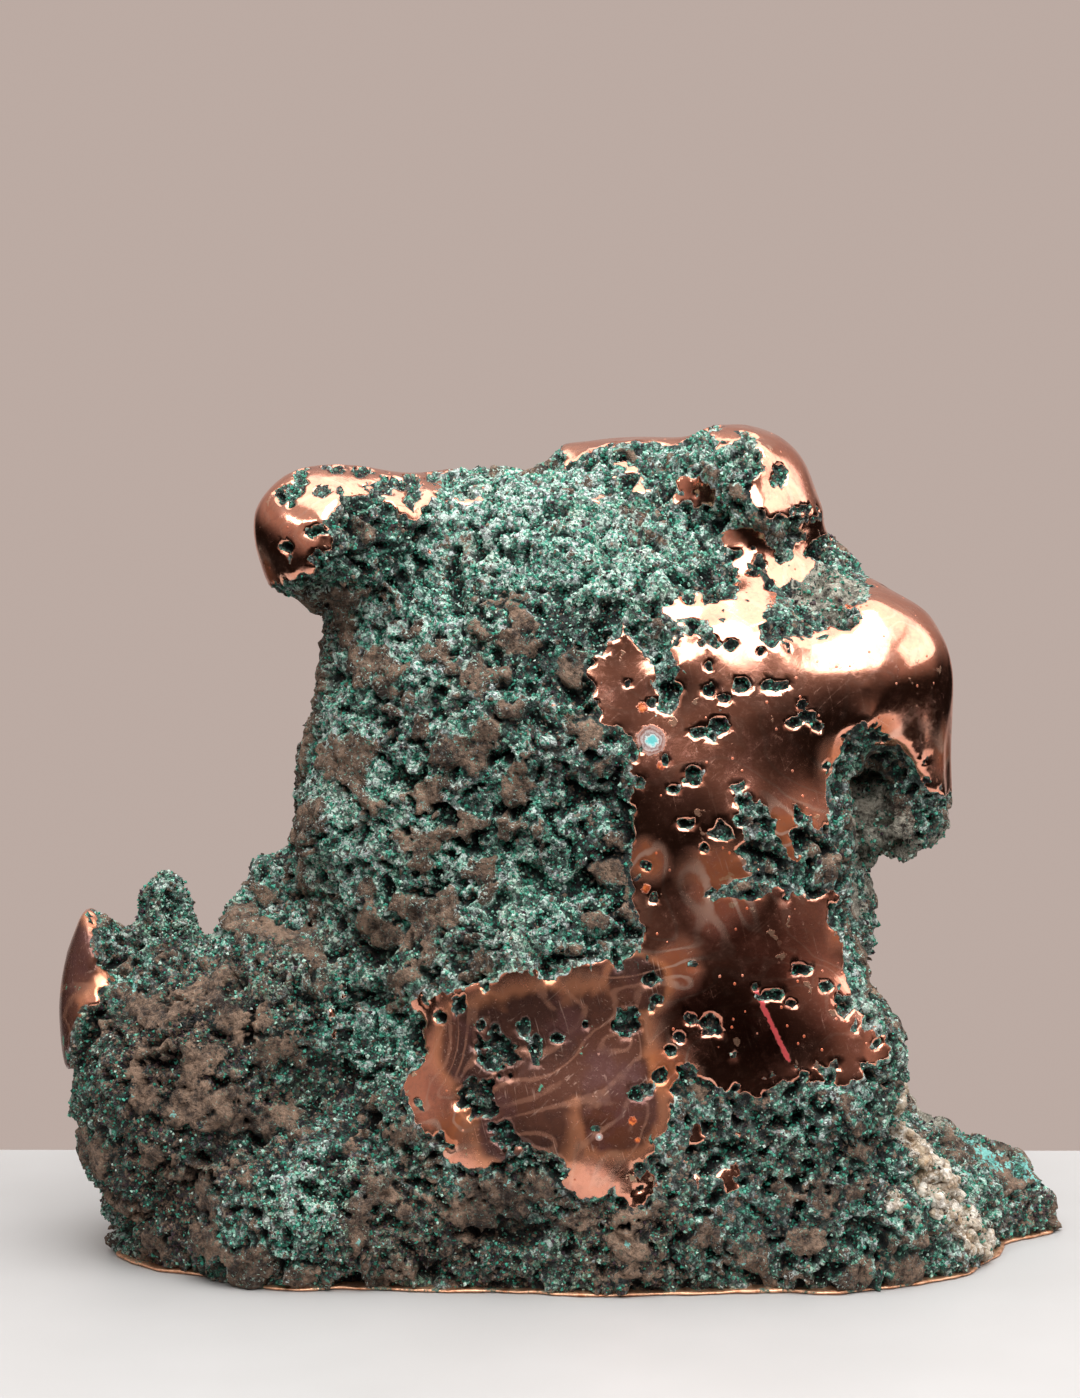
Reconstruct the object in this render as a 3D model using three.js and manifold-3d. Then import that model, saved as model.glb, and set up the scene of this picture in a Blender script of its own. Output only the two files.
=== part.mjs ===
// A native copper nugget, 222 mm wide: one intergrown mass with an upright trunk, a low arm on the left with
// three peaks, domes along the top, a hooded lobe on the right, and a small foot behind it. Its underside is
// sawn flat. Units are millimetres, +X right, +Y away from the front, +Z up. The finished nugget stands with
// the origin on its sawn face, under the middle of its box; the shapes below are placed about a point 1 mm
// from it.
//
// The mass is a trunk, given by level sections, and lumps, which are ellipsoids. A distance says how far a
// point is outside each; a soft minimum runs them into each other, hollows are taken away, and a noise
// roughens the result. Marching cubes make its skin, and boolean cuts make the windows and the sawn face.
import * as THREE from "three";
import { mergeVertices } from "three/addons/utils/BufferGeometryUtils.js";
import { ImprovedNoise } from "three/addons/math/ImprovedNoise.js";
import { MarchingCubes } from "three/addons/objects/MarchingCubes.js";
import Module from "manifold-3d";

// Driving dimensions.
const SQUARENESS = 2.5; // exponent of the trunk's superellipse sections; 2 is an ellipse
const BLEND = 6; // width over which two lumps run into each other
const CRAGS = [
  { wave: 26, height: 2.4 },
  { wave: 13, height: 1.6 },
];
const CELL = 5.5; // side of a marching cube
const CELLS = 48; // cubes along each side of their grid
const GRID_MIDDLE_Z = 90;
const MOST_TRIANGLES = 20000;
const SAW = { width: 400, depth: 100 }; // the block below Z = 0 that is cut away
const SAME_POINT = 1e-3; // corners nearer than this are one

// The trunk's level sections, from below the cut to the crown: its left and right edges in X, and its front
// and back in Y.
const TRUNK = [
  { z: -12, left: -64, right: 92, front: -44, back: 46 },
  { z: 0, left: -64, right: 94, front: -47, back: 47 },
  { z: 14, left: -62, right: 90, front: -49, back: 47 },
  { z: 32, left: -58, right: 78, front: -48, back: 45 },
  { z: 50, left: -56, right: 70, front: -44, back: 43 },
  { z: 68, left: -55, right: 66, front: -38, back: 41 },
  { z: 85, left: -57, right: 66, front: -37, back: 40 },
  { z: 102, left: -57, right: 64, front: -37, back: 38 },
  { z: 120, left: -52, right: 62, front: -36, back: 36 },
  { z: 138, left: -50, right: 62, front: -28, back: 34 },
  { z: 153, left: -50, right: 60, front: -20, back: 31 },
  { z: 163, left: -44, right: 55, front: -12, back: 27 },
  { z: 171, left: -36, right: 47, front: -2, back: 22 },
];

// Lumps by name: the middle, the three radii, and the tip about Y in degrees, which turns a lump as seen
// from the front.
const LUMPS = {
  crownKnobLeft: { at: [-51, -12, 159.5], radii: [15.5, 15, 14], tip: -14 },
  crownKnobNeck: { at: [-37, -8, 160], radii: [15, 15, 12], tip: 0 },
  crownRidge: { at: [-8, -2, 161.5], radii: [26, 14, 8], tip: 3 },
  crownDomeBack: { at: [16, 14, 170.5], radii: [17, 15, 9.5], tip: -5 },
  crownDomeRight: { at: [40, 2, 168], radii: [16, 19, 15], tip: 16 },
  shoulderKnob: { at: [59, 4, 145], radii: [9, 12, 9.5], tip: 0 },
  shoulder: { at: [40, -18, 120], radii: [26, 20, 28], tip: 0 },
  hoodLobe: { at: [67, -12, 129], radii: [18.5, 22, 18], tip: 8 },
  hoodRim: { at: [77.5, -10, 114], radii: [8.5, 19, 22], tip: -4 },
  hoodChin: { at: [73.5, -8, 96], radii: [11.5, 14, 8], tip: 8 },
  waistFront: { at: [34, -27, 92], radii: [30, 15, 32], tip: 0 },
  pillarFront: { at: [36, -28, 66], radii: [30, 18, 28], tip: 0 },
  waistRight: { at: [59.5, -6, 72], radii: [8, 16, 14], tip: 0 },
  knee: { at: [-4, -36, 34], radii: [30, 16, 25], tip: -6 },
  kneeTop: { at: [-4, -31, 66], radii: [27, 17, 22], tip: -6 },
  kneeRight: { at: [51, -32, 45], radii: [24, 16, 24], tip: 12 },
  skirtLeft: { at: [-48, -26, 14], radii: [34, 22, 22], tip: 0 },
  skirtRight: { at: [58, -24, 10], radii: [32, 22, 24], tip: 6 },
  skirtToe: { at: [86, -9, 4], radii: [13, 14, 16], tip: 24 },
  arm: { at: [-76, -4, 36], radii: [31, 33, 34], tip: 12 },
  armRoot: { at: [-58, -6, 52], radii: [22, 28, 24], tip: 0 },
  armHeel: { at: [-78, -6, 6], radii: [20, 26, 16], tip: 0 },
  armEnd: { at: [-102.5, -6, 56], radii: [6.5, 17, 21.5], tip: 4 },
  armPeakMiddle: { at: [-85.8, -2, 76.5], radii: [7.5, 8, 7], tip: 0 },
  armPeakMiddleNeck: { at: [-84, -2, 66], radii: [8, 10, 9], tip: 0 },
  armPeakRight: { at: [-64.4, -2, 81.5], radii: [7, 7, 6], tip: 0 },
  armPeakRightNeck: { at: [-63.5, -2, 71.5], radii: [9, 9, 7.5], tip: -20 },
  armPeakBranch: { at: [-58, 0, 84], radii: [4, 5, 2.6], tip: -20 },
  armPeakBridge: { at: [-55, 0, 78], radii: [4.5, 6, 3], tip: 10 },
  footKnob: { at: [88, 14, 16], radii: [7, 8, 8], tip: 0 },
  foot: { at: [99.5, 14, 3], radii: [12.5, 15, 15.5], tip: 0 },
  footBridge: { at: [82, 14, 6], radii: [16, 14, 16], tip: 10 },
  backBulge: { at: [-18, 30, 108], radii: [32, 17, 32], tip: 0 },
  backBoss: { at: [32, 34, 70], radii: [26, 14, 26], tip: 18 },
  backHeel: { at: [-34, 34, 26], radii: [34, 18, 28], tip: 0 },
  backToe: { at: [44, 34, 14], radii: [36, 16, 20], tip: 0 },
};

// Hollows by name, in the same form as the lumps.
const HOLLOWS = {
  underHood: { at: [72, -34, 103], radii: [9, 14, 12], tip: 10 },
  waistFold: { at: [-34, -50, 63], radii: [24, 9, 6], tip: -24 },
  peakValley: { at: [-76.5, -2, 73], radii: [3.5, 24, 7], tip: 8 },
  armNotch: { at: [-95.5, -6, 74], radii: [3, 24, 6], tip: -8 },
  armUnder: { at: [-112, -6, 39], radii: [5, 24, 4], tip: 10 },
};

// Two small windows between the arm's right peak and the trunk, which go through from front to back. The
// pitch turns their length about X, down to the back, in degrees.
const WINDOWS = {
  upper: { at: [-56.7, 0, 82.3], radii: [1.9, 60, 2.4], pitch: -9 },
  lower: { at: [-53.1, 0, 71.6], radii: [1.9, 60, 2.1], pitch: -9 },
};

const copper = new THREE.MeshStandardMaterial({ color: 0x6d5143, roughness: 0.6, metalness: 0.6 });
const noise = new ImprovedNoise();

// How far a point is outside a stretched and tipped ellipsoid, and below 0 inside it. True on its surface,
// and close near it.
function lumpDistance({ at, radii, tip }) {
  const middle = new THREE.Vector3(...at);
  const sizes = new THREE.Vector3(...radii);
  const upright = new THREE.Quaternion().setFromAxisAngle(
    new THREE.Vector3(0, 1, 0),
    THREE.MathUtils.degToRad(-tip),
  );
  const scaled = new THREE.Vector3();
  return (point) => {
    const share = scaled.subVectors(point, middle).applyQuaternion(upright).divide(sizes).length();
    const slope = scaled.divide(sizes).length();
    return slope === 0 ? -Math.min(...radii) : (share * (share - 1)) / slope;
  };
}

// One edge of the trunk as a function of height: a smooth curve through its sections, read off by height.
function trunkEdge(edge) {
  const curve = new THREE.CatmullRomCurve3(TRUNK.map((level) => new THREE.Vector3(level[edge], 0, level.z)));
  const samples = curve.getPoints(16 * TRUNK.length);
  return (z) => {
    const above = samples.findIndex((sample) => sample.z >= z);
    if (above === 0) return samples[0].x;
    if (above < 0) return samples.at(-1).x;
    const [low, high] = [samples[above - 1], samples[above]];
    return THREE.MathUtils.mapLinear(z, low.z, high.z, low.x, high.x);
  };
}

// How far a point is outside the trunk's section at its height, or past the trunk's top or bottom.
function trunkDistance() {
  const [left, right, front, back] = ["left", "right", "front", "back"].map(trunkEdge);
  const [bottom, top] = [TRUNK[0].z, TRUNK.at(-1).z];
  return ({ x, y, z }) => {
    const halfWidth = (right(z) - left(z)) / 2;
    const halfDepth = (back(z) - front(z)) / 2;
    const across = Math.abs(x - left(z) - halfWidth) / halfWidth;
    const along = Math.abs(y - front(z) - halfDepth) / halfDepth;
    const share = (across ** SQUARENESS + along ** SQUARENESS) ** (1 / SQUARENESS);
    return Math.max((share - 1) * Math.min(halfWidth, halfDepth), z - top, bottom - z);
  };
}

// The smaller of two distances, eased where they are within BLEND of each other.
function softMinimum(a, b) {
  const overlap = Math.max(1 - Math.abs(a - b) / BLEND, 0);
  return Math.min(a, b) - (overlap * overlap * BLEND) / 4;
}

// How far a point is outside the roughened mass.
function massDistance() {
  const shapes = [trunkDistance(), ...Object.values(LUMPS).map(lumpDistance)];
  const hollows = Object.values(HOLLOWS).map(lumpDistance);
  return (point) => {
    let distance = shapes.map((shape) => shape(point)).reduce(softMinimum);
    for (const hollow of hollows) distance = -softMinimum(-distance, hollow(point));
    for (const { wave, height } of CRAGS)
      distance -= height * noise.noise(point.x / wave, point.y / wave, point.z / wave);
    return distance;
  };
}

// The skin where a distance is 0, as a closed geometry. The cubes' field says how far inside the mass a point
// is.
function skin(distance) {
  const cubes = new MarchingCubes(CELLS, copper, false, false, MOST_TRIANGLES);
  cubes.isolation = 0;
  const half = (CELLS * CELL) / 2;
  const point = new THREE.Vector3();
  for (let k = 0; k < CELLS; k++)
    for (let j = 0; j < CELLS; j++)
      for (let i = 0; i < CELLS; i++) {
        point.set(i, j, k).multiplyScalar(CELL).subScalar(half);
        point.z += GRID_MIDDLE_Z;
        cubes.field[i + CELLS * (j + CELLS * k)] = -distance(point);
      }
  cubes.update();
  const corners = cubes.positionArray.slice(0, 3 * cubes.count);
  const geometry = new THREE.BufferGeometry();
  geometry.setAttribute("position", new THREE.BufferAttribute(corners, 3));
  return geometry.scale(half, half, half).translate(0, 0, GRID_MIDDLE_Z);
}

const wasm = await Module();
wasm.setup();

// A closed three.js geometry as a manifold solid.
function solidOf(geometry) {
  const bare = geometry.clone();
  bare.deleteAttribute("normal");
  bare.deleteAttribute("uv");
  const merged = mergeVertices(bare, SAME_POINT);
  return new wasm.Manifold(
    new wasm.Mesh({
      numProp: 3,
      vertProperties: merged.getAttribute("position").array,
      triVerts: new Uint32Array(merged.index.array),
    }),
  );
}

// A manifold solid as a three.js geometry.
function geometryOf(solid) {
  const mesh = solid.getMesh();
  const geometry = new THREE.BufferGeometry();
  geometry.setAttribute("position", new THREE.BufferAttribute(mesh.vertProperties, 3));
  geometry.setIndex(new THREE.BufferAttribute(mesh.triVerts, 1));
  geometry.computeVertexNormals();
  return geometry;
}

// The mass with its windows, sawn off level at Z = 0.
function nugget() {
  const mass = solidOf(skin(massDistance()));
  const waste = new THREE.BoxGeometry(SAW.width, SAW.width, SAW.depth).translate(0, 0, -SAW.depth / 2);
  const windows = Object.values(WINDOWS).map(({ at, radii, pitch }) =>
    new THREE.IcosahedronGeometry(1, 3)
      .scale(...radii)
      .rotateX(THREE.MathUtils.degToRad(pitch))
      .translate(...at),
  );
  return [waste, ...windows].map(solidOf).reduce((solid, cut) => solid.subtract(cut), mass);
}

const mesh = new THREE.Mesh(geometryOf(nugget()), copper);
mesh.name = "nugget";
const middle = new THREE.Box3().setFromObject(mesh).getCenter(new THREE.Vector3());
mesh.position.set(-middle.x, -middle.y, 0);

const group = new THREE.Group();
group.add(mesh);

export default group;
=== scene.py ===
"""A native copper nugget on a pale table: one mass, ground to a mirror in places and crusted green elsewhere.

Sizes are millimetres in the tables and functions below, and metres once a mesh is made. X is right, Y is away
from the front and Z is up, as in the frame.
"""
import math

import bmesh
import bpy
import numpy as np
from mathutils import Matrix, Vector


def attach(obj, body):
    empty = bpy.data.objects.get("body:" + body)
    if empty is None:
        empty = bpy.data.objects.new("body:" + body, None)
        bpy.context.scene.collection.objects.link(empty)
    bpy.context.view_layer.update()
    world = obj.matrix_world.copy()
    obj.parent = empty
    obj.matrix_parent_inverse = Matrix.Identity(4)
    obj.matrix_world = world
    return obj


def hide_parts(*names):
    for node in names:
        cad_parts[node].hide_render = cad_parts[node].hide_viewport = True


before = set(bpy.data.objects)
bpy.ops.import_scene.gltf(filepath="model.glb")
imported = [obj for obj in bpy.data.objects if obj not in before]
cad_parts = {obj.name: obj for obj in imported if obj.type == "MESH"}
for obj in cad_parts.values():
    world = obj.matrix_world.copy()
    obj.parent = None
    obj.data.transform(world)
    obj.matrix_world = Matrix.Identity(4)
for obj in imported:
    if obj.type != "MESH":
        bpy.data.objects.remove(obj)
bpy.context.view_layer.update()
MM = 0.001

# ------------------------------------------------------------------ driving values
VOXEL = 1.3  # side of the first, even skin's faces
ROUGH_WAVE = 9  # in the first skin, shapes shorter than this are taken out of the crust
GROUND_WAVE = 38  # and shapes shorter than this out of a face that a wheel has ground
MOST_TRIANGLES = 196_000
ALL_ROUND = (-99, 99)  # both sides of the nugget, in Y
FRONT = (-99, 6)
BACK = (4, 99)

# Ground faces, each an outline in X and Z as seen square on from the front, and the Y between which it lies.
GROUND = {
    "belly and hood": (FRONT, [
        (8, 140), (6, 135), (6, 127), (8, 122), (13, 120), (15, 116), (14, 106), (15, 90), (17, 74),
        (14, 60), (18, 47), (30, 46), (40, 42), (47, 46), (56, 46), (61, 45), (71, 50), (69, 53), (64, 58),
        (60, 64), (58, 80), (63, 85), (63, 92), (56, 103), (56, 108), (60, 118), (64, 121), (67, 115),
        (72, 115), (76, 110), (79, 104), (84, 102), (98, 102), (98, 140), (84, 153), (68, 151), (66, 146),
        (61, 143), (52, 138), (44, 139), (46, 147), (40, 152), (37, 155), (34, 155), (38, 151), (36, 147),
        (22, 147), (20, 144), (24, 141), (31, 142), (30, 139), (26, 140), (21, 138), (25, 134), (24, 127),
        (21, 126), (17, 137), (13, 141), (10, 142)]),
    "knee": (FRONT, [
        (-29, 66), (-31, 61), (-30, 56), (-31, 50), (-33, 43), (-31, 37), (-26, 33), (-23, 29), (-17, 28),
        (-7, 30), (-3, 28), (4, 21), (7, 20), (10, 22), (13, 20), (17, 20), (20, 24), (18, 29), (24, 40),
        (27, 50), (20, 73), (4, 71), (-12, 69), (-20, 65)]),
    "left crown knob": (ALL_ROUND, [
        (-85, 143), (-85, 190), (-20, 190), (-24, 171), (-26, 168), (-27, 165), (-31, 163), (-37, 165),
        (-39, 162), (-47, 166), (-49, 163), (-47, 157), (-50, 154), (-50, 151), (-56, 150), (-63, 146)]),
    "copper in the crown": (FRONT, [
        (12, 168), (15, 171), (18, 169), (21, 170), (26, 172), (30, 171), (33, 168), (33, 163), (30, 166),
        (27, 168), (22, 168), (17, 166)]),
    "band under the crown": (FRONT, [
        (33, 158), (36, 160), (41, 160), (45, 156), (49, 153), (52, 156), (53, 152), (50, 149), (47, 147),
        (45, 150), (44, 153), (40, 153), (37, 155)]),
    "back crown dome": (ALL_ROUND, [
        (-3, 190), (-1, 176), (5, 175), (11, 176), (13, 177), (21, 179), (26, 180), (27, 190)]),
    "back of the crown dome": (BACK, [(-4, 190), (31, 190), (32, 168), (18, 164), (2, 168)]),
    "right crown dome": (ALL_ROUND, [
        (31, 190), (29, 182), (32, 179), (34, 177), (39, 178), (42, 176), (42, 173), (40, 170), (41, 166),
        (44, 163), (46, 162), (51, 162), (55, 161), (72, 165), (72, 190)]),
    "ring under the dome": (FRONT, [(47, 162), (52, 158), (57, 155), (62, 156), (60, 161), (53, 162)]),
    "strip under the ring": (FRONT, [(50, 157), (55, 157), (55, 151), (51, 148), (49, 149)]),
    "arm's end": ((-99, 16), [
        (-103, 77), (-101, 70), (-100, 66), (-97, 62), (-100, 57), (-102, 54), (-104, 50), (-106, 43),
        (-108, 36), (-122, 36), (-122, 80)]),
    "high back": (BACK, [
        (-40, 112), (-30, 134), (-8, 140), (8, 128), (10, 100), (-4, 78), (-26, 74), (-38, 90)]),
    "low back": (BACK, [(18, 66), (24, 84), (40, 90), (52, 74), (50, 52), (34, 44), (22, 50)]),
    "heel": (BACK, [(-54, 26), (-46, 38), (-32, 36), (-27, 26), (-36, 18), (-48, 18)]),
}

# The crust that runs down into the belly's ground face.
BELLY_GULLY = [
    (39, 106), (42, 103), (44, 98), (47, 93), (50, 91), (51, 96), (48, 101), (50, 103), (54, 102), (54, 98),
    (57, 96), (60, 99), (64, 92), (60, 84), (52, 85), (46, 87), (43, 85), (33, 85), (37, 88), (42, 90),
    (42, 93), (39, 96), (38, 101)]

# Holes in the ground front: middle in X and Z, and half width and half height.
PITS = [
    (31, 133, 0.9, 0.9), (31, 128, 1, 1), (34, 126, 1.2, 0.8), (33, 121, 1.7, 2.5), (29, 119, 1.8, 0.9),
    (45, 129, 2.3, 1.0), (51, 125, 1.1, 1.1), (52, 122, 1.7, 1.1), (54, 120, 1.5, 1.1), (49, 121, 2.0, 0.9),
    (19, 125, 1.1, 1.1), (24, 128, 1.3, 1.1), (14, 129, 0.8, 1.1), (28, 110, 1.8, 1.7), (24, 107, 1.3, 0.9),
    (26, 100, 1.5, 1.1), (34, 98, 2.2, 1.5), (30, 95, 1.0, 1.1), (22, 113, 0.8, 0.9), (15, 115, 1.1, 1.7),
    (18, 91, 1.5, 1.1), (19, 84, 1.1, 1.3), (19, 67, 1.5, 1.1), (20, 63, 1.3, 0.9), (19, 61, 0.8, 1.1),
    (14, 58, 2.5, 2.3), (31, 57, 2.3, 1.9), (27, 59, 1.1, 1.1), (25, 55, 1.3, 1.2), (23, 52, 1.2, 1.3),
    (41, 66, 0.9, 0.9), (44, 64, 2.5, 0.9), (49, 62, 1.1, 0.7), (51, 69, 2.1, 0.8), (56, 65, 1.5, 1.1),
    (60, 61, 1.9, 1.7), (21, 47, 1.6, 1.4), (-22, 62, 2.1, 1.7), (-26, 59, 1.1, 1.1), (-17, 58, 1.2, 1.0),
    (-14, 57, 1.2, 1.0), (-14, 52, 4.0, 4.0), (-17, 43, 4.0, 4.4), (-12, 35, 3.4, 3.0), (-1, 55, 1.2, 0.8),
    (5, 58, 0.8, 1.0), (17, 44, 2.5, 1.4), (28, 44, 4.8, 2.2), (-8, 58, 1.3, 2.4), (-5, 53, 1.2, 2.4),
    (-56, 173, 1.8, 1.0), (-51, 174, 1.0, 0.7), (-48, 173, 1.6, 1.2), (-43, 173, 2.2, 1.6),
    (-58, 168, 2.6, 2.0), (-56, 171, 1.6, 1.6), (-51, 169, 1.8, 1.0), (-47, 169, 0.8, 0.7),
    (-37, 170, 2.2, 1.6), (-40, 168, 2.2, 1.8), (-43, 167, 1.9, 1.0), (-46, 167, 1.0, 0.7),
    (-33, 170, 2.4, 2.0), (-32, 167, 1.5, 1.9), (-28, 171, 1.6, 1.3), (-51, 161, 2.4, 0.8),
    (-50, 155, 2.8, 1.4), (-59, 157, 1.2, 0.8), (-37, 165, 1.5, 1.2), (47, 171, 1.8, 2.4),
    (52, 164, 1.8, 0.8), (32, 138, 1.6, 1.3), (36, 137, 1.2, 1.0), (42, 136, 0.8, 0.8), (27, 146, 1.2, 1.0),
    (38, 129, 1.7, 1.2)]

# Where the skin is pressed in or drawn out along Y: middle in X and Z, radius, and how far.
PRESSED = [(12, 146, 15, -7), (-49, 151, 11, -7.5), (50, 44, 10, 3), (40, 153, 6, -1.8), (44, 163, 5, -3.2)]

# Where high points of the crust were scraped bright: middle and radius.
SCRAPED = [
    (15, -4, 170, 9), (28, -9, 168, 8), (20, -2, 168, 8), (8, -11, 165, 6), (-20, -11, 166, 6),
    (-25, -18, 156, 4), (-51, -30, 57, 8), (-45, -32, 55, 6), (-12, -37, 68, 7), (-3, -37, 67, 5),
    (29, -46, 32, 8), (35, -46, 26, 7), (75, 0, 34, 3), (-2, -36, 123, 4), (2, -34, 140, 4),
    (-1, -33, 136, 3), (42, -47, 14, 4), (24, 30, 150, 8), (-60, 20, 50, 7), (60, 25, 60, 7),
    (-10, 40, 30, 6)]

# Smooth brown scabs on the crust of the front: middle in X and Z, and half width and half height.
SCABS = [
    (-46, 111, 6, 4), (-30, 121, 2.6, 5.3), (-36, 131, 3.2, 2.1), (-36, 122, 3.8, 1.7), (-21, 114, 6, 3.4),
    (-15, 119, 2.1, 2.6), (-11, 106, 3, 4.7), (-12, 99, 1.7, 4.7), (-19, 89, 4.3, 2.6), (-24, 82, 2.6, 3.6),
    (-33, 81, 3.8, 2.6), (-46, 141, 2.6, 2.6), (-45, 136, 1.9, 1.9), (-9, 137, 3.4, 1.9),
    (-9, 142, 2.6, 1.7), (-12, 124, 3, 2.1), (-54, 97, 1.7, 4.3), (-61, 51, 6.4, 3.4), (-81, 38, 4.7, 3.8),
    (-73, 35, 3.8, 2.1), (-60, 35, 4.3, 3), (-90, 42, 3, 4.3), (-103, 25, 3, 3.8), (-65, 80, 3, 2.3),
    (-65, 73, 2.6, 2.1), (-53, 64, 2.6, 2.6), (-39, 76, 2.6, 3.2), (-75, 11, 4.3, 4.3), (-65, 8, 3, 4.3),
    (-43, 13, 2.6, 5.1), (-37, 22, 2.6, 3), (30, 14, 5, 3), (52, 12, 4, 3), (-20, 18, 4, 3),
    (-88, 56, 4, 3)]

# Where one finish of the crust or the copper gathers: middle and radius.
# Painted light as well as pale crust: these places lighten the crust and draw pale grains, and the largest,
# on top of the crown, is lighter partly from the light falling from above.
PALE_CRUST_AND_LIGHT = [
    (2, -17, 160, 24), (14, -24, 154, 14), (-50, -22, 104, 17), (-34, -26, 137, 13), (-55, -47, 19, 10),
    (-38, -34, 52, 10), (-8, -36, 90, 14), (-30, -30, 96, 14), (-78, -12, 76, 8), (20, 30, 140, 30),
    (-60, 30, 20, 18), (60, 30, 30, 16)]
# Painted shade as well as dark crust: these places darken the crust, and some of them, in the middle of the
# front below the crown and in a hollow low on the left, are dark only from shadow.
DARK_CRUST_AND_SHADE = [
    (8, -37, 94, 12), (7, -37, 110, 9), (0, -31, 138, 12), (-49, -37, 33, 14), (46, -45, 22, 26),
    (-50, -36, 46, 12), (74, -14, 108, 9), (-90, -30, 18, 20), (-84, -34, 46, 24), (0, 30, 60, 30)]
BROWN_CRUST = [
    (-81, -35, 44, 30), (-70, -30, 70, 14), (-90, -34, 18, 22), (-40, -40, 12, 16), (-50, 10, 130, 14),
    (-70, 30, 40, 30), (40, 30, 110, 26), (99, 14, 8, 18), (86, 14, 18, 10), (-20, -44, 12, 18),
    (14, -48, 10, 14)]
SEAM = [
    (72, -33, 39, 3.5), (75, -31, 33, 4.5), (78, -30, 27, 6), (81, -31, 21, 7), (84, -30, 15, 7),
    (88, -26, 9, 5.5), (92, -20, 3, 4.5), (70, -41, 19, 3), (74, -38, 15, 3.5)]
TARNISHED = [
    (-16, -45, 53, 13), (-5, -48, 52, 16), (8, -48, 55, 14), (-8, -50, 38, 14), (12, -48, 40, 12),
    (16, -42, 66, 8), (12, -46, 47, 9), (-108, -14, 66, 12), (-110, -14, 50, 13), (-108, 2, 58, 16)]
REDDISH = [
    (46, -38, 96, 12), (34, -42, 88, 11), (24, -43, 70, 7), (10, -50, 38, 8), (-24, -45, 36, 7),
    (62, -38, 78, 8), (22, -44, 48, 8), (-66, -18, 150, 8), (18, -38, 92, 6), (60, -32, 112, 8),
    (66, -30, 118, 6), (84, -20, 112, 8), (90, -10, 106, 8), (95, -2, 118, 8), (92, -8, 126, 5)]
# Painted shade as well as a redder tint: the ground copper here is made darker and redder where it reflects
# the dark room.
DEEP_RED_AND_SHADE = [(44, -40, 70, 13), (42, -43, 57, 13), (54, -38, 58, 10), (36, -42, 78, 9), (28, -44, 62, 8)]
TURQUOISE = [(95, 5, 18, 5), (103, 9, 13, 5), (88, 12, 27, 4), (91, 8, 21, 3)]
STONE = [
    (58, -14, 147, 9), (67, -11, 105, 8), (66, -20, 99, 8), (69, -17, 93, 10), (80, -12, 92, 7),
    (66, -8, 84, 7), (64, -20, 80, 5), (80, 12, 24, 9)]

# The finish's layers, each 1 at its places and falling away round them.
LAYERS = {
    "pale": PALE_CRUST_AND_LIGHT, "dark": DARK_CRUST_AND_SHADE, "brown": BROWN_CRUST, "stone": STONE, "blue": TURQUOISE,
    "seam": SEAM, "tarnish": TARNISHED, "red": REDDISH, "deep": DEEP_RED_AND_SHADE}


# ------------------------------------------------------------------ noise, as whole arrays
def scatter(cells, seed):
    """A repeatable random number from 0 to 1 for each whole-number cell: its coordinates are multiplied by
    large primes, joined bit by bit, and mixed."""
    x, y, z = (cells[..., i].astype(np.uint64) for i in range(3))
    n = x * np.uint64(73856093) ^ y * np.uint64(19349663) ^ z * np.uint64(83492791)
    n ^= np.uint64(seed * 2654435761)
    for prime in (0xFF51AFD7ED558CCD, 0xC4CEB9FE1A85EC53):
        n ^= n >> np.uint64(33)
        n *= np.uint64(prime)
    n ^= n >> np.uint64(33)
    return (n >> np.uint64(11)).astype(float) / 2.0**53


def gradient_noise(points, seed=0):
    """Perlin's noise, about -1 to 1: each cell corner has a random slope, and the slopes' heights at a
    point are blended by 6t^5 - 15t^4 + 10t^3 along each axis."""
    cell = np.floor(points).astype(np.int64)
    inside = points - cell
    ease = inside**3 * (inside * (inside * 6 - 15) + 10)
    total = np.zeros(len(points))
    for corner in np.ndindex(2, 2, 2):
        there = cell + np.array(corner)
        turn = scatter(there, seed) * 2 * np.pi
        rise = scatter(there, seed + 101) * 2 - 1
        level = np.sqrt(1 - rise**2)
        slope = np.stack([level * np.cos(turn), level * np.sin(turn), rise], 1)
        share = np.prod(np.where(np.array(corner) == 1, ease, 1 - ease), axis=1)
        total += share * np.einsum("ij,ij->i", slope, inside - np.array(corner))
    return total * 1.6


def layered_noise(points, wave, layers=3, fade=0.5, seed=0):
    """Layers of gradient noise, each of half the wavelength and a share of the height of the one before."""
    return sum(fade**i * gradient_noise(points * 2**i / wave, seed + 7 * i) for i in range(layers))


def nearest_seed(points, wave, seed=0):
    """Scattered seeds, one in each cell of a grid of that wavelength: the distance to the nearest, in
    wavelengths, and that seed's own random number."""
    scaled = points / wave
    cell = np.floor(scaled).astype(np.int64)
    nearest = np.full(len(points), 9.0)
    own = np.zeros(len(points))
    for step in np.ndindex(3, 3, 3):
        there = cell + np.array(step) - 1
        seeds = there + np.stack([scatter(there, seed + i) for i in range(3)], 1)
        apart = np.linalg.norm(seeds - scaled, axis=1)
        closer = apart < nearest
        own = np.where(closer, scatter(there, seed + 3), own)
        nearest = np.where(closer, apart, nearest)
    return nearest, own


def ramp(value, low, high):
    """0 below low, 1 above high, and 3t^2 - 2t^3 between them."""
    share = np.clip((value - low) / (high - low), 0, 1)
    return share * share * (3 - 2 * share)


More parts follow.
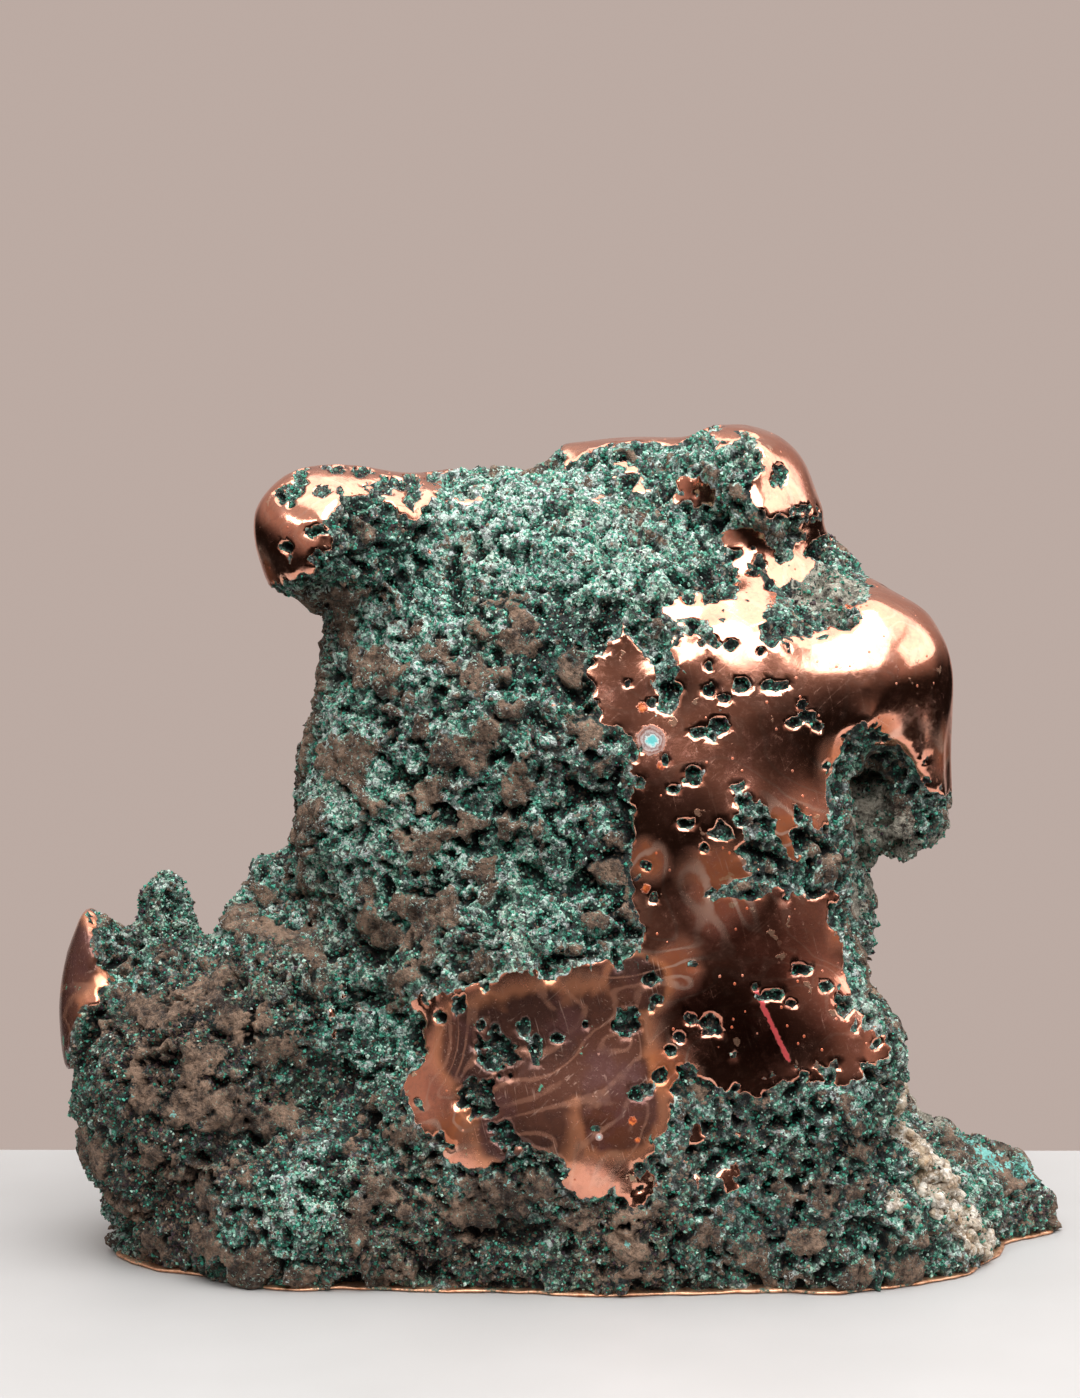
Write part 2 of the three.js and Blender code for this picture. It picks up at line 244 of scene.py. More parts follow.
# ------------------------------------------------------------------ outlines and patches
def inside_outline(outline, x, z):
    """How far inside a closed outline each point is, and below 0 outside it: the distance to its nearest
    edge, with the sign from how often a ray along X crosses it."""
    corners = np.array(outline, float)
    nearest = np.full(len(x), 1e9)
    inside = np.zeros(len(x), bool)
    for (ax, az), (bx, bz) in zip(corners, np.roll(corners, -1, axis=0)):
        along = (x - ax) * (bx - ax) + (z - az) * (bz - az)
        share = np.clip(along / ((bx - ax) ** 2 + (bz - az) ** 2), 0, 1)
        nearest = np.minimum(nearest, np.hypot(x - ax - share * (bx - ax), z - az - share * (bz - az)))
        if az != bz:
            inside ^= ((az > z) != (bz > z)) & (x < ax + (z - az) * (bx - ax) / (bz - az))
    return np.where(inside, nearest, -nearest)


def inside_ground(points):
    """How far each point is inside the nearest ground face, and below 0 outside them all."""
    x, y, z = points.T
    best = np.full(len(points), -50.0)
    for (front, back), outline in GROUND.values():
        across = np.minimum(y - front, back - y) * 1.5
        best = np.maximum(best, np.minimum(inside_outline(outline, x, z), across))
    in_front = y < FRONT[1]
    return np.where(in_front, np.minimum(best, -inside_outline(BELLY_GULLY, x, z)), best)


def gathered(points, places):
    """1 at the middle of the nearest listed place, falling as a bell curve with the place's radius."""
    best = np.zeros(len(points))
    for *middle, radius in places:
        apart = np.linalg.norm(points - np.array(middle), axis=1)
        best = np.maximum(best, np.exp(-((apart / radius) ** 2)))
    return best


# ------------------------------------------------------------------ meshes in and out
def placed(name, mesh):
    piece = bpy.data.objects.new(name, mesh)
    bpy.context.scene.collection.objects.link(piece)
    return piece


def finished(piece):
    """The piece with its modifiers taken into its mesh."""
    graph = bpy.context.evaluated_depsgraph_get()
    mesh = bpy.data.meshes.new_from_object(piece.evaluated_get(graph))
    piece.modifiers.clear()
    piece.data = mesh
    return piece


def vectors_of(items, what):
    flat = np.empty(3 * len(items), np.float32)
    items.foreach_get(what, flat)
    return flat.reshape(-1, 3).astype(float)


def merge_corners(mesh):
    """Joins corners in the same place, and turns all faces out."""
    shape = bmesh.new()
    shape.from_mesh(mesh)
    bmesh.ops.remove_doubles(shape, verts=shape.verts, dist=1e-6)
    bmesh.ops.recalc_face_normals(shape, faces=shape.faces)
    shape.to_mesh(mesh)
    shape.free()


def set_points(mesh, points):
    mesh.vertices.foreach_set("co", (points * MM).astype(np.float32).ravel())
    mesh.update()


def numbers_of(items, each):
    """The corner numbers of a mesh's edges or triangles, a row for each."""
    flat = np.empty(each * len(items), np.int32)
    items.foreach_get("vertices", flat)
    return flat.reshape(-1, each).astype(np.int64)


def edges_of(mesh):
    return numbers_of(mesh.edges, 2)


def triangles_of(mesh):
    mesh.calc_loop_triangles()
    return numbers_of(mesh.loop_triangles, 3)


def write_layer(mesh, name, values):
    layer = mesh.attributes.new(name, "FLOAT", "POINT")
    layer.data.foreach_set("value", values.astype(np.float32))


# ------------------------------------------------------------------ the even skin
def edge_pull(values, edges):
    """Each point's value times the number of its neighbours, less the neighbours' values."""
    a, b = edges.T
    gap = values[a] - values[b]
    size = len(values)
    return np.stack([np.bincount(a, g, size) - np.bincount(b, g, size) for g in gap.T], 1)


def faired(points, edges, stiffness, rounds=260):
    """The skin that leaves its first place as little as it can while it bends as little as it can: the
    least sum of the squared moves and of stiffness times the squared edge pulls, found by conjugate
    gradients."""
    def strained(values):
        return values + edge_pull(stiffness[:, None] * edge_pull(values, edges), edges)

    found = points.copy()
    rest = points - strained(found)
    way = rest.copy()
    size = np.sum(rest * rest)
    for _ in range(rounds):
        strain = strained(way)
        step = size / np.sum(way * strain)
        found += step * way
        rest -= step * strain
        new_size = np.sum(rest * rest)
        way = rest + new_size / size * way
        size = new_size
    return found


def stiffness_for(wave, spacing):
    """The stiffness that halves waves of that length on a skin with points that far apart."""
    return 1 / (2 * np.pi * spacing / wave) ** 4


def even_skin():
    """The nugget's solid as a skin of even four-sided faces, fair where it is to be ground, with its base
    level."""
    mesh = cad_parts["nugget"].data.copy()
    merge_corners(mesh)
    skin = placed("nugget_skin", mesh)
    skin.data.materials.clear()
    remesh = skin.modifiers.new("Even faces", "REMESH")
    remesh.mode = "VOXEL"
    remesh.voxel_size = VOXEL * MM
    skin = finished(skin)
    points = vectors_of(skin.data.vertices, "co") / MM
    level = points[:, 2] < 0.8 * VOXEL
    wave = ROUGH_WAVE + (GROUND_WAVE - ROUGH_WAVE) * ramp(inside_ground(points), -1, 6)
    fair = faired(points, edges_of(skin.data), stiffness_for(wave, VOXEL))
    x, y, z = fair.T
    for cx, cz, radius, far in PRESSED:
        share = np.exp(-((x - cx) ** 2 + (z - cz) ** 2) / radius**2) * ramp(-y, -2, 10)
        fair[:, 1] += far * share
    fair[:, 2] = np.maximum(fair[:, 2], 0.2)
    fair[level] = points[level] * [1, 1, 0]
    set_points(skin.data, fair)
    return skin


def unwrap(piece):
    """A flat layout of the smooth skin, which the finer skin made from it keeps."""
    bpy.context.view_layer.objects.active = piece
    piece.select_set(True)
    bpy.ops.object.mode_set(mode="EDIT")
    bpy.ops.mesh.select_all(action="SELECT")
    bpy.ops.uv.smart_project(angle_limit=math.radians(60), island_margin=0.001)
    bpy.ops.object.mode_set(mode="OBJECT")
    piece.data.uv_layers.active.name = "OFBake"
    piece.select_set(False)


# ------------------------------------------------------------------ the crust's relief
def scab_cover(points):
    """1 on a smooth brown scab and 0 off it: the listed ones in front and scattered ones everywhere, with
    edges and holes from layered noise."""
    x, y, z = points.T
    ragged = 0.9 * layered_noise(points, 6.5, 4, 0.62, seed=41)
    best = np.full(len(points), -1.0)
    for cx, cz, wide, high in SCABS:
        best = np.maximum(best, 1.15 - np.hypot((x - cx) / (1.25 * wide), (z - cz) / (1.25 * high)))
    apart, own = nearest_seed(points, 13, seed=43)
    scattered = np.where(own > 0.35, 0.42 - apart, -1) + 0.10 * gathered(points, BROWN_CRUST)
    cover = np.where(y < 0, np.maximum(best - 0.2, scattered - 0.1), scattered) + ragged
    return ramp(cover, 0.0, 0.10)


def crust_relief(points, scab):
    """Height of the bare crust over the fair skin: slow swells, lumps, sharp little ridges, grains and
    steep-sided ragged pores, with the scabs standing proud and lumpy."""
    bent = points + 1.6 * np.stack([gradient_noise(points / 5, seed) for seed in (11, 12, 13)], 1)
    swell = 1.7 * layered_noise(points, 17, 2, seed=1)
    lumps = 2.6 * (0.5 - nearest_seed(bent, 7.0, seed=2)[0])
    grains = 1.3 * (0.5 - nearest_seed(bent, 2.7, seed=3)[0])
    ridges = 1.2 * (0.5 - 1.5 * np.abs(gradient_noise(bent / 5, seed=7)))
    grit = 0.9 * gradient_noise(points / 1.7, seed=4) + 0.6 * gradient_noise(points / 1.05, seed=8)
    pores = -2.6 * ramp(gradient_noise(bent / 3.2, seed=5), 0.26, 0.42)
    hollows = -3.4 * ramp(gradient_noise(bent / 9, seed=6), 0.26, 0.44)
    calm = 1 - 0.72 * scab
    flaky = 0.8 * layered_noise(bent, 3.6, 2, 0.6, seed=9)
    bare = calm * (lumps + grains + ridges + grit + pores) + (1 - scab) * hollows
    return swell + bare + (1.2 + flaky) * scab


def split_where_fine(piece):
    """Halves the faces wherever the skin needs fine shape: all of the crust that shows from the front and
    sides, and a few millimetres on both sides of the edge of each ground face and pit. Elsewhere the faces
    stay as they are."""
    mesh = piece.data
    points = vectors_of(mesh.vertices, "co") / MM
    x, y, z = points.T
    ground = inside_ground(points)
    near_pit = np.zeros(len(points), bool)
    for cx, cz, wide, high in PITS:
        near_pit |= np.hypot((x - cx) / (wide + 1.6), (z - cz) / (high + 1.6)) < 1
    fine = (ground < 3) & (z > 0.1) & (y < np.where(z < 150, 16, 40)) | near_pit & (y < 6)
    split = fine[edges_of(mesh)].all(1)
    shape = bmesh.new()
    shape.from_mesh(mesh)
    shape.edges.ensure_lookup_table()
    chosen = [shape.edges[i] for i in np.flatnonzero(split)]
    bmesh.ops.subdivide_edges(shape, edges=chosen, cuts=1, use_grid_fill=True)
    shape.to_mesh(mesh)
    shape.free()


def worked_skin():
    """The fine skin: crust relief where it is bare, cut off level where it is ground, with pits and scraped
    spots."""
    skin = even_skin()
    unwrap(skin)
    split_where_fine(skin)
    mesh = skin.data
    points = vectors_of(mesh.vertices, "co") / MM
    out = vectors_of(mesh.vertices, "normal")
    x, y, z = points.T
    edge_noise = 1.3 * gradient_noise(points / 7, 21) + 0.8 * gradient_noise(points / 2.6, 22)
    ground = inside_ground(points)
    ground += edge_noise * ramp(-np.abs(ground), -6, -1)
    for *middle, radius in SCRAPED:
        apart = np.linalg.norm(points - np.array(middle), axis=1)
        ground = np.maximum(ground, (radius - apart) * 0.3 - 1.6 + 2.2 * gradient_noise(points / 3.0, 23))
    scab = scab_cover(points) * ramp(-ground, 0, 2)
    relief = crust_relief(points, scab)
    near = np.minimum(ground, 0)
    shelf = -0.8 * (1 - np.exp(near / 0.8)) * np.exp(near / 5)
    height = relief + np.where(ground > 0, 1.3 * ground, shelf)
    pit_noise = 0.7 * gradient_noise(points / 2.7, 24) + 0.45 * gradient_noise(points / 1.3, 25)
    away = 1.2 * ramp(out[:, 1], -0.2, 0.25)
    for cx, cz, wide, high in PITS:
        apart = np.hypot((x - cx) / wide, (z - cz) / high) + pit_noise + away
        deep = 0.7 + 0.6 * min(wide, high)
        pit = 0.35 * relief + 6 * (apart - 1) * min(wide, high)
        pit = np.maximum(pit, 0.35 * relief - deep)
        height = np.where((y < 6) & (apart < 1.6), np.minimum(height, pit), height)
    apart, own = nearest_seed(points, 8.5, seed=31)
    speck = np.where(own > 0.6, 60 * (apart - 0.02 - 0.11 * (own - 0.6) / 0.4), 9.0)
    height = np.minimum(height, np.maximum(speck, -0.9))
    limit = np.maximum(-ground - 0.6, 0) * 0.35
    shift = np.clip(np.minimum(height, limit), -5, 4)
    level = z < 0.05
    base = level & (out[:, 2] < -0.95)
    shift[base] = 0
    wavy = 0.30 * gradient_noise(points / 23, 26) + 0.12 * gradient_noise(points / 12, 27)
    lobe = ramp(x, 74, 86) * ramp(z, 92, 100)
    drawn = np.maximum(lobe, ramp(-z, -98, -86) * ramp(x, 12, 24)) * ramp(-y, -10, 5)
    wavy += np.where(z > 90, 0.9, 0.5) * drawn * gradient_noise(points / [7, 7, 34], 28)
    wavy *= ramp(out[:, 2], -0.98, -0.80) * np.where(level, 0, 1)
    moved = points + out * (shift + wavy)[:, None]
    moved[:, 2] -= 0.35 * np.maximum(shift, 0) * ramp(-ground, 1, 4)
    moved[:, 2] = np.where(level, 0, np.maximum(moved[:, 2], 0.15))
    edges = edges_of(mesh)
    a, b = edges.T
    count = np.bincount(edges.ravel(), minlength=len(points))
    around = shift.copy()
    for _ in range(10):
        around = (np.bincount(a, around[b], len(around)) + np.bincount(b, around[a], len(around))) / count
    set_points(mesh, moved)
    write_layer(mesh, "ground", np.clip(np.minimum(height, ground + 0.7), -1, 2))
    # depth, the height over the points round it, is what the finish paints shade and light from.
    write_layer(mesh, "depth", np.clip(shift - around, -3, 3))
    write_layer(mesh, "scab", scab)
    for name, places in LAYERS.items():
        write_layer(mesh, name, gathered(points, places))
    spare = skin.vertex_groups.new(name="spare")
    loss = np.where(ground > -0.4, 0.15, np.where(y < 12, 0.5, 0.8))
    loss = np.where(base, 1.0, loss)
    for share in (0.15, 0.5, 0.8, 1.0):
        spare.add(np.flatnonzero(loss == share).tolist(), share, "REPLACE")
    thinner = skin.modifiers.new("Fewer faces", "DECIMATE")
    thinner.vertex_group = "spare"
    thinner.vertex_group_factor = 1.0
    thinner.ratio = min(1.0, MOST_TRIANGLES / len(triangles_of(mesh)))
    skin = finished(skin)
    skin.vertex_groups.clear()
    skin.data.shade_smooth()
    return skin


# ------------------------------------------------------------------ shader maths
class Wire:
    """A socket in a recipe, on which Python's signs add Math nodes."""

    def __init__(self, recipe, socket):
        self.recipe = recipe
        self.socket = socket

    def math(self, operation, *values):
        return self.recipe.add("ShaderNodeMath", {"operation": operation}, dict(enumerate(values)))

    def __add__(self, other):
        return self.math("ADD", self, other)

    __radd__ = __add__

    def __mul__(self, other):
        return self.math("MULTIPLY", self, other)

    __rmul__ = __mul__

    def __sub__(self, other):
        return self.math("SUBTRACT", self, other)

    def __rsub__(self, other):
        return self.math("SUBTRACT", other, self)

    def __truediv__(self, other):
        return self.math("DIVIDE", self, other)

    def least(self, other):
        return self.math("MINIMUM", self, other)

    def most(self, other):
        return self.math("MAXIMUM", self, other)

    def wave(self):
        return self.math("SINE", self)

    def rise(self, low, high):
        """0 at low, 1 at high and smooth between; falling where low is the larger."""
        settings = {"interpolation_type": "SMOOTHSTEP"}
        if low < high:
            return self.recipe.add("ShaderNodeMapRange", settings, {0: self, 1: low, 2: high})
        return self.recipe.add("ShaderNodeMapRange", settings, {0: self, 1: high, 2: low, 3: 1.0, 4: 0.0})

    def other(self, name):
        return Wire(self.recipe, self.socket.node.outputs[name])


class Nodes:
    """A node tree, in which every node comes from add."""

    def __init__(self, tree):
        self.nodes = tree.nodes
        self.links = tree.links
        self.nodes.clear()

    def add(self, kind, settings, values):
        """A node of that type: its settings are set first, then its sockets' values or links. Gives its first
        output. Stops are a colour ramp's, each a place and a colour."""
        node = self.nodes.new(kind)
        for name, value in settings.items():
            if name == "stops":
                stops = node.color_ramp.elements
                for at, colour in value[1:-1]:
                    stops.new(at).color = (*colour, 1)
                for index in (0, -1):
                    at, colour = value[index]
                    stops[index].position = at
                    stops[index].color = (*colour, 1)
            else:
                setattr(node, name, value)
        for name, value in values.items():
            if isinstance(value, Wire):
                self.links.new(value.socket, node.inputs[name])
            elif isinstance(value, tuple) and node.inputs[name].type == "RGBA":
                node.inputs[name].default_value = (*value, 1)
            else:
                node.inputs[name].default_value = value
        shown = [socket for socket in node.outputs if socket.enabled]
        return Wire(self, shown[0]) if shown else node

    def blend(self, share, below, above):
        """The colour below where the share is 0, and the one above where it is 1."""
        return self.add("ShaderNodeMix", {"data_type": "RGBA"}, {0: share, 6: below, 7: above})

    def vector(self, operation, values):
        return self.add("ShaderNodeVectorMath", {"operation": operation}, values)


class Recipe(Nodes):
    """A material's nodes, with the place on the object in millimetres."""

    def __init__(self, name):
        self.material = bpy.data.materials.new(name)
        self.material.use_nodes = True
        super().__init__(self.material.node_tree)
        place = self.add("ShaderNodeTexCoord", {}, {}).other("Object")
        self.place = self.vector("SCALE", {"Vector": place, "Scale": 1 / MM})

    def noise(self, wave, detail=2.0, rough=0.5, bend=0.0, place=None):
        """Noise about 0 to 1 with that wavelength in millimetres."""
        values = {"Vector": place or self.place, "Scale": 1 / wave, "Detail": detail, "Roughness": rough}
        return self.add("ShaderNodeTexNoise", {}, {**values, "Distortion": bend})

    def cells(self, wave, place=None):
        """Scattered cells with that spacing in millimetres: the distance to the nearest seed, as a share of
        it."""
        return self.add("ShaderNodeTexVoronoi", {}, {"Vector": place or self.place, "Scale": 1 / wave})

    def shaken(self, far, wave):
        """The place moved by noise of that wavelength, by about that many millimetres."""
        push = self.vector("SUBTRACT", {0: self.noise(wave).other("Color"), 1: (0.5, 0.5, 0.5)})
        push = self.vector("SCALE", {0: push, "Scale": 4 * far})
        return self.vector("ADD", {0: self.place, 1: push})

    def layer(self, name):
        return self.add("ShaderNodeAttribute", {"attribute_name": name}, {}).other("Fac")

    def from_point(self, middle):
        """Distance from a point, in millimetres."""
        gap = self.vector("SUBTRACT", {0: self.place, 1: middle})
        return self.vector("LENGTH", {0: gap}).other("Value")

    def from_line(self, start, end):
        """Distance, as seen square on from the front, from the straight line between two points."""
        way = (np.array(end, float) - start) * [1, 0, 1]
        size = float(np.linalg.norm(way))
        way = tuple((way / size).tolist())
        gap = self.vector("SUBTRACT", {0: self.place, 1: start})
        gap = self.vector("MULTIPLY", {0: gap, 1: (1, 0, 1)})
        along = self.vector("DOT_PRODUCT", {0: gap, 1: way}).other("Value")
        foot = self.vector("SCALE", {"Vector": way, "Scale": along.most(0.0).least(size)})
        return self.vector("LENGTH", {0: self.vector("SUBTRACT", {0: gap, 1: foot})}).other("Value")

    def finish(self, colour, roughness, metallic, height=None, constants=None):
        """The surface shader. Height is in millimetres."""
        values = {"Base Color": colour, "Roughness": roughness, "Metallic": metallic, **(constants or {})}
        if height is not None:
            bump = {"Height": height, "Distance": MM, "Strength": 1.0}
            values["Normal"] = self.add("ShaderNodeBump", {}, bump)
        surface = self.add("ShaderNodeBsdfPrincipled", {}, values)
        self.add("ShaderNodeOutputMaterial", {}, {"Surface": surface})
        return self.material


# ------------------------------------------------------------------ finishes
# Spots on the ground copper: middle and radius.
EYES = [
    ((19, -36, 117), 3.4), ((23, -39, 59), 1.9), ((8, -47, 52), 0.9), ((8, -51, 35), 0.9),
    ((57, -46, 48), 1.8)]
CUPRITE = [
    ((17, -35, 124), 1.3), ((22, -35, 128), 0.9), ((21, -38, 112), 1.1), ((27, -39, 111), 0.7),
    ((15, -49, 38), 1.1), ((18, -48, 36), 0.8), ((16, -49, 34), 0.9), ((12, -50, 40), 0.6),
    ((18, -39, 86), 1.2), ((31, -45, 24), 0.9)]
CRIMSON = ((41, -45, 65), (48, -46, 50), 0.6)  # a thin stain, from end to end, and its half width


def nearest_of(recipe, places):
    """The distance to the nearest listed place, as a share of its radius."""
    best = None
    for middle, radius in places:
        share = recipe.from_point(middle) / radius
        best = share if best is None else best.least(share)
    return best


def nugget_finish():
    """Ground copper with its stains and mineral eyes, and round it green, mint, brown and near-black crust,
    with painted light and shade: the crust lighter on raised points and near black in hollows and between
    grains, and darker copper and an orange band standing in for reflections."""
    r = Recipe("copper ground and crusted")
    ground, depth, scab = (r.layer(name) for name in ("ground", "depth", "scab"))
    pale, dark, brown, stone = (r.layer(name) for name in ("pale", "dark", "brown", "stone"))
    tarnish, red, deep = (r.layer(name) for name in ("tarnish", "red", "deep"))
    fine = r.noise(0.8, 4, 0.7)
    small = r.noise(2.4, 4, 0.65)
    broad = r.noise(9, 3, 0.6)
    vast = r.noise(34, 2, 0.5)
    grain = r.cells(1.05, place=r.shaken(0.7, 1.3))
    own = r.add("ShaderNodeSeparateColor", {}, {0: grain.other("Color")})
    tone, kind = own, own.other("Green")
    flake = r.cells(0.55, place=r.shaken(0.4, 0.7))
    copper = (ground + 1.1 * (fine - 0.5)).rise(0.45, 0.62)

    # crust
    # Painted light and shade: the crust is lighter on raised points and darker in low ones (depth), and
    # lighter or darker where the pale and dark layers place painted light and shade.
    mottle = 0.36 * tone + 0.44 * fine + 0.28 * small + 0.08 * flake.other("Color") + 0.10 * depth - 0.02
    mottle = mottle + 0.10 * pale - 0.06 * dark + 0.40 * (0.5 - broad) + 0.50 * (vast - 0.5)
    green = r.add("ShaderNodeValToRGB", {"stops": [
        (0.35, (0.004, 0.008, 0.008)), (0.43, (0.012, 0.056, 0.040)), (0.50, (0.028, 0.190, 0.125)),
        (0.57, (0.105, 0.430, 0.300)), (0.64, (0.400, 0.740, 0.590)), (0.73, (0.740, 0.920, 0.820))]},
        {0: mottle})
    moss = r.blend(r.noise(13, 2, 0.5).rise(0.45, 0.60) * (0.35 + 0.65 * brown), green, r.blend(
        mottle.rise(0.38, 0.70), (0.010, 0.016, 0.010), (0.400, 0.520, 0.340)))
    ash = kind.rise(0.60, 0.72) * (0.45 + 0.55 * r.noise(5, 2, 0.5).rise(0.42, 0.6))
    crust = r.blend(ash * 0.8, moss, r.blend(
        mottle.rise(0.38, 0.70), (0.026, 0.025, 0.031), (0.68, 0.71, 0.73)))
    plum = kind.rise(0.34, 0.24) * (0.50 + 0.50 * dark.most(brown)) * small.rise(0.40, 0.55)
    crust = r.blend(plum * 0.75, crust, r.blend(
        mottle.rise(0.38, 0.68), (0.026, 0.010, 0.021), (0.30, 0.19, 0.26)))
    # Near-black patches of crust from noise, partly painted shade: they spread further in low spots (depth)
    # and in the dark layer's places.
    black = 0.40 * broad + 0.35 * small + 0.25 * tone - 0.10 * depth + 0.10 * dark - 0.05 * pale
    crust = r.blend(black.rise(0.53, 0.62) * 0.85, crust, (0.008, 0.008, 0.010))
    scab_tone = r.blend(
        (0.35 * broad + 0.35 * small + 0.30 * fine).rise(0.40, 0.62),
        (0.026, 0.015, 0.011), (0.36, 0.235, 0.160))
    rust = 0.42 * r.noise(5, 4, 0.65) + 0.30 * fine + 0.28 * tone + 0.13 * brown - 0.12 * pale
    crust = r.blend(rust.rise(0.56, 0.64) * 0.9, crust, scab_tone)
    bare = (scab + 0.9 * (fine - 0.5) - 0.5 * flake.rise(0.60, 0.75)).rise(0.40, 0.60)
    crust = r.blend(bare, crust, scab_tone)
    blue = (r.layer("blue") + 2.2 * (small - 0.5) + 0.9 * (tone - 0.5)).rise(0.60, 0.75)
    crust = r.blend(blue * 0.9, crust, r.blend(tone, (0.06, 0.36, 0.33), (0.30, 0.75, 0.68)))
    # Painted shade: the crust goes near black along the edges between grains, where shadow falls in the
    # cracks; less so on scabs.
    crack = grain.rise(0.46, 0.66) * (1 - 0.85 * scab)
    crust = r.blend(crack * 0.7, crust, (0.004, 0.006, 0.006))
    # Painted shade: hollows in the relief, lower than the points round them, go near black.
    hollow_shade = (depth + 0.5 * (fine - 0.5)).rise(-0.35, -1.5)
    crust = r.blend(hollow_shade * 0.9, crust, (0.004, 0.007, 0.007))
    rock = r.blend((0.5 * small + 0.5 * fine).rise(0.36, 0.64), (0.07, 0.06, 0.045), (0.58, 0.54, 0.44))
    rocky = (stone + 0.9 * (small - 0.5) + 0.5 * (fine - 0.5)).rise(0.40, 0.6)
    crust = r.blend(rocky * 0.9, crust, rock)
    milk = r.blend((0.5 * small + 0.5 * tone).rise(0.3, 0.7), (0.36, 0.25, 0.15), (0.84, 0.78, 0.68))
    seamed = (r.layer("seam") + 0.9 * (small - 0.5) + 0.5 * (fine - 0.5)).rise(0.34, 0.50)
    crust = r.blend(seamed * 0.9, crust, milk)

    # ground copper
    scratch = 0.0
    for turn in ((0.2, 0.5, 0.9), (0.4, 1.3, -0.4), (1.0, -0.7, 0.2)):
        values = {"Vector": r.place, "Rotation": turn, "Scale": (16, 0.7, 0.35)}
        lines = r.noise(1.0, 1, 0.5, place=r.add("ShaderNodeMapping", {"vector_type": "TEXTURE"}, values))
        scratch = scratch + lines.rise(0.66, 0.80)
    metal = r.blend(vast, (0.93, 0.45, 0.31), (0.84, 0.34, 0.22))
    veil = r.noise(17, 3, 0.6, bend=0.8)
    rusty = (0.9 * red + 0.8 * (veil - 0.5)).rise(0.30, 0.75)
    metal = r.blend(rusty * 0.85, metal, (0.60, 0.17, 0.06))
    cloud = r.noise(7, 4, 0.65, bend=0.5).rise(0.46, 0.68)
    metal = r.blend(cloud * 0.35, metal, (0.34, 0.12, 0.11))
    # Painted shade: the copper on the lower middle of the belly is made darker as well as redder where it
    # reflects the dark room.
    metal = r.blend(deep * 0.85, metal, (0.36, 0.11, 0.075))
    haze = r.noise(1.6, 4, 0.7).rise(0.46, 0.72)
    metal = r.blend(haze * 0.30, metal, (0.34, 0.19, 0.15))
    speck = r.cells(2.3)
    specks = speck.rise(0.15, 0.10) * speck.other("Color").rise(0.68, 0.72)
    metal = r.blend(specks * 0.8, metal, (0.62, 0.11, 0.03))
    fleck = r.cells(4.5, place=r.shaken(1.2, 2.0))
    flecks = (fleck + 0.3 * (fine - 0.5)).rise(0.20, 0.15) * fleck.other("Color").rise(0.66, 0.70)
    flecks = flecks * (0.3 + tarnish).least(1.0)
    swirl = r.noise(30, 1.5, 0.45, bend=1.4)
    curves = (48 * swirl + 2.5 * (veil - 0.5) + 1.5 * (small - 0.5)).wave().rise(0.55, 1.0)
    film = (tarnish + 0.5 * (veil - 0.5)).rise(0.25, 0.65)
    skin_tone = r.blend(
        (0.7 * swirl + 0.3 * small).rise(0.38, 0.60), (0.014, 0.006, 0.007), (0.095, 0.032, 0.019))
    skin_tone = r.blend(curves * 0.60, skin_tone, (0.36, 0.165, 0.105))
    metal = r.blend(curves * (0.15 + 0.45 * red), metal, (0.95, 0.66, 0.52))
    skin_tone = r.blend(r.noise(11, 3, 0.6).rise(0.48, 0.66) * 0.8, skin_tone, (0.085, 0.034, 0.037))
    # Painted reflection: an orange band along the edge of the tarnish film, standing in for the copper's
    # orange reflection of the pale table.
    skin_tone = r.blend(film * (1 - film) * 3.6, skin_tone, (0.62, 0.23, 0.09))
    pepper = r.cells(0.9).rise(0.22, 0.12) * fine.rise(0.45, 0.60)
    skin_tone = r.blend(pepper * 0.7, skin_tone, r.blend(veil, (0.012, 0.006, 0.006), (0.30, 0.17, 0.12)))
    metal = r.blend(film * 0.92, metal, skin_tone)
    metal = r.blend(scratch * 0.22, metal, (0.95, 0.66, 0.52))
    metal = r.blend(flecks * 0.8, metal, (0.05, 0.34, 0.22))
    start, end, wide = CRIMSON
    streak = (r.from_line(start, end) / wide + 2.6 * (small - 0.5) + 1.8 * (fine - 0.5)).rise(1.0, 0.5)
    metal = r.blend(streak * 0.95, metal, (0.70, 0.09, 0.10))
    spot = nearest_of(r, CUPRITE) + 1.3 * (fine - 0.5) + 0.8 * (small - 0.5)
    spotted = spot.rise(0.95, 0.70)
    metal = r.blend(spotted, metal, r.blend(fine.rise(0.4, 0.6), (0.30, 0.05, 0.02), (0.80, 0.20, 0.05)))
    eye = nearest_of(r, EYES) + 0.45 * (fine - 0.5) + 0.35 * (small - 0.5)
    ring = r.add("ShaderNodeValToRGB", {"stops": [
        (0.0, (0.10, 0.58, 0.58)), (0.34, (0.20, 0.66, 0.66)), (0.44, (0.72, 0.80, 0.78)),
        (0.52, (0.26, 0.16, 0.15)), (0.64, (0.58, 0.50, 0.48)), (0.76, (0.25, 0.09, 0.06)),
        (0.86, (0.50, 0.34, 0.30)), (1.0, (0.34, 0.12, 0.07))]}, {0: eye})
    eyed = eye.rise(1.02, 0.92)
    metal = r.blend(eyed, metal, ring)

